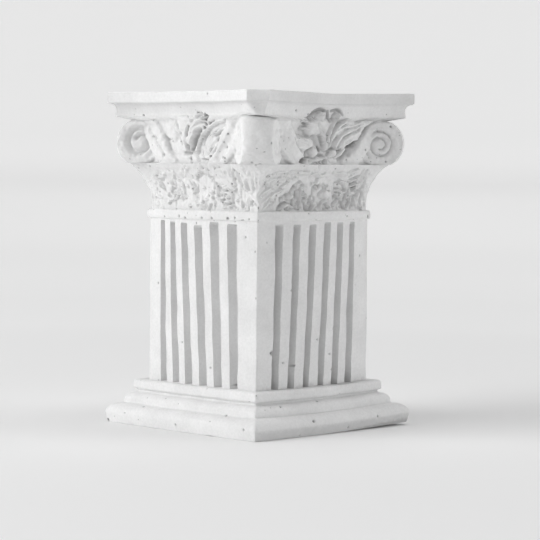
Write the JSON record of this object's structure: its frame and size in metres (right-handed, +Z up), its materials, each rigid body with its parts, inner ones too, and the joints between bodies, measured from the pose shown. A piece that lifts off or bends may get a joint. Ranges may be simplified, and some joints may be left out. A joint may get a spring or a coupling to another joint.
{
  "type": "display pedestal",
  "caption": "Small square Corinthian column in white plaster, with fluted shaft, leaf capital and flat top for showing a small object.",
  "frame": {"origin": "middle of the underside, on the surface that the pedestal stands on", "axes": "+Z up along the column; +X and +Y square to two of the four like faces"},
  "size_m": [0.0704, 0.0704, 0.1],
  "materials": {
    "plaster": "white gypsum plaster, matt, as cast"
  },
  "bodies": {
    "root": {"pedestal": "plaster"}
  },
  "joints": []
}
